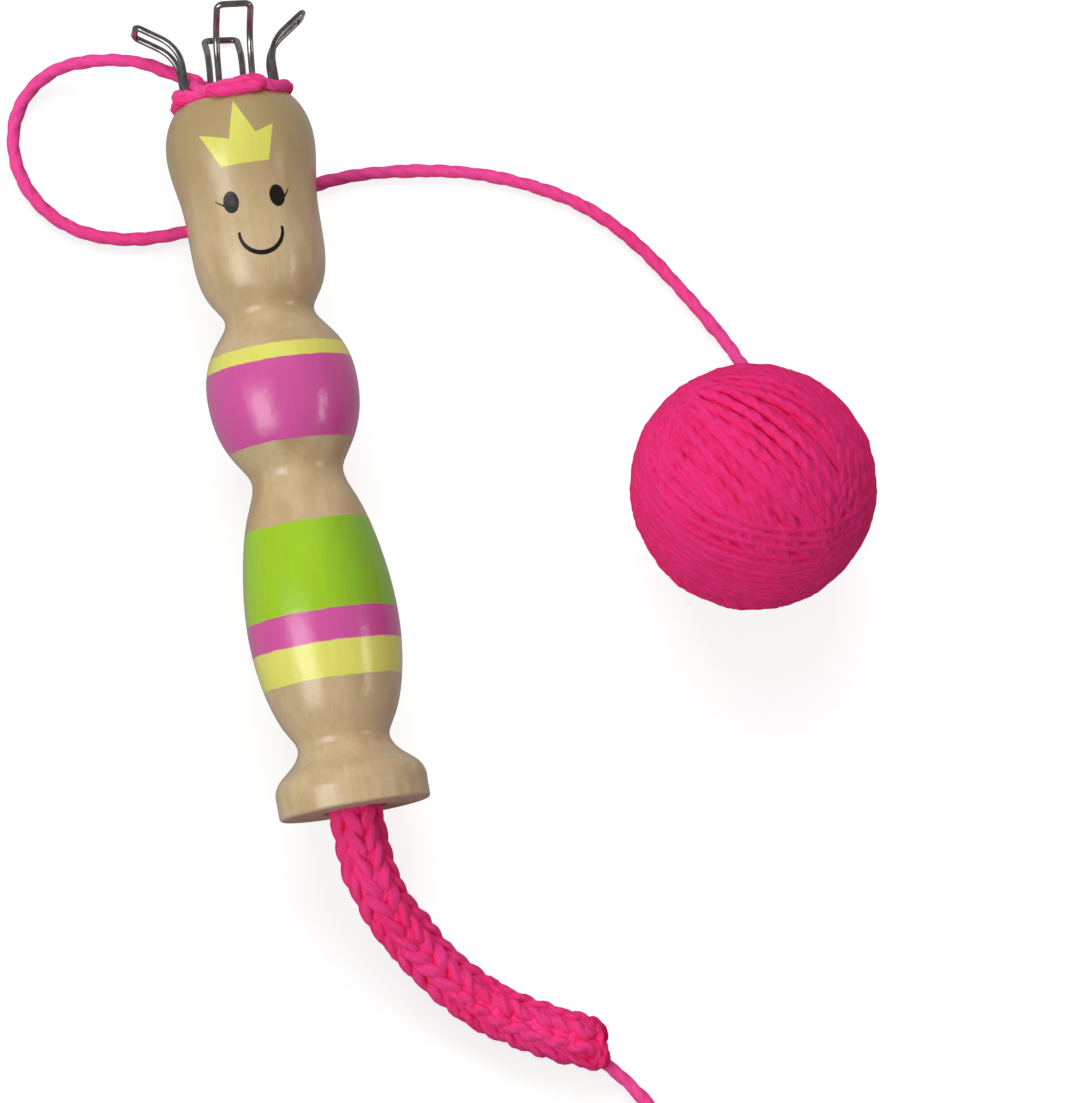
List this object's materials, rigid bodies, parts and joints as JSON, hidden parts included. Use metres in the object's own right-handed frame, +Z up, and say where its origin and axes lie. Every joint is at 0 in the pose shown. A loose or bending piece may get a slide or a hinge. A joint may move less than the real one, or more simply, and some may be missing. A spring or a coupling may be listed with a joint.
{
  "type": "i-cord maker",
  "caption": "Turned wooden knitting doll with wire loops round a bore, knitting in progress, its yarn and a small ball.",
  "frame": {"origin": "bottom centre of the lying doll's box without its cords, on the table", "axes": "+Y along the doll from foot to head, +X across it, +Z up out of its face"},
  "size_m": [0.1452, 0.2322, 0.0444],
  "materials": {
    "wood": "pale varnished hardwood with painted bands and a painted face",
    "wire": "bright drawn steel wire",
    "yarn": "matt pink three-ply yarn"
  },
  "bodies": {
    "root": {"turned_body": "wood", "front_wire_loop": "wire", "right_wire_loop": "wire", "back_wire_loop": "wire", "left_wire_loop": "wire", "front_stitch": "yarn", "right_stitch": "yarn", "back_stitch": "yarn", "left_stitch": "yarn", "last_round": "yarn", "knitted_cord_inside": "yarn", "knitted_cord": "yarn", "cast_on_tail": "yarn", "working_yarn": "yarn", "yarn_ball": "yarn"}
  },
  "joints": []
}
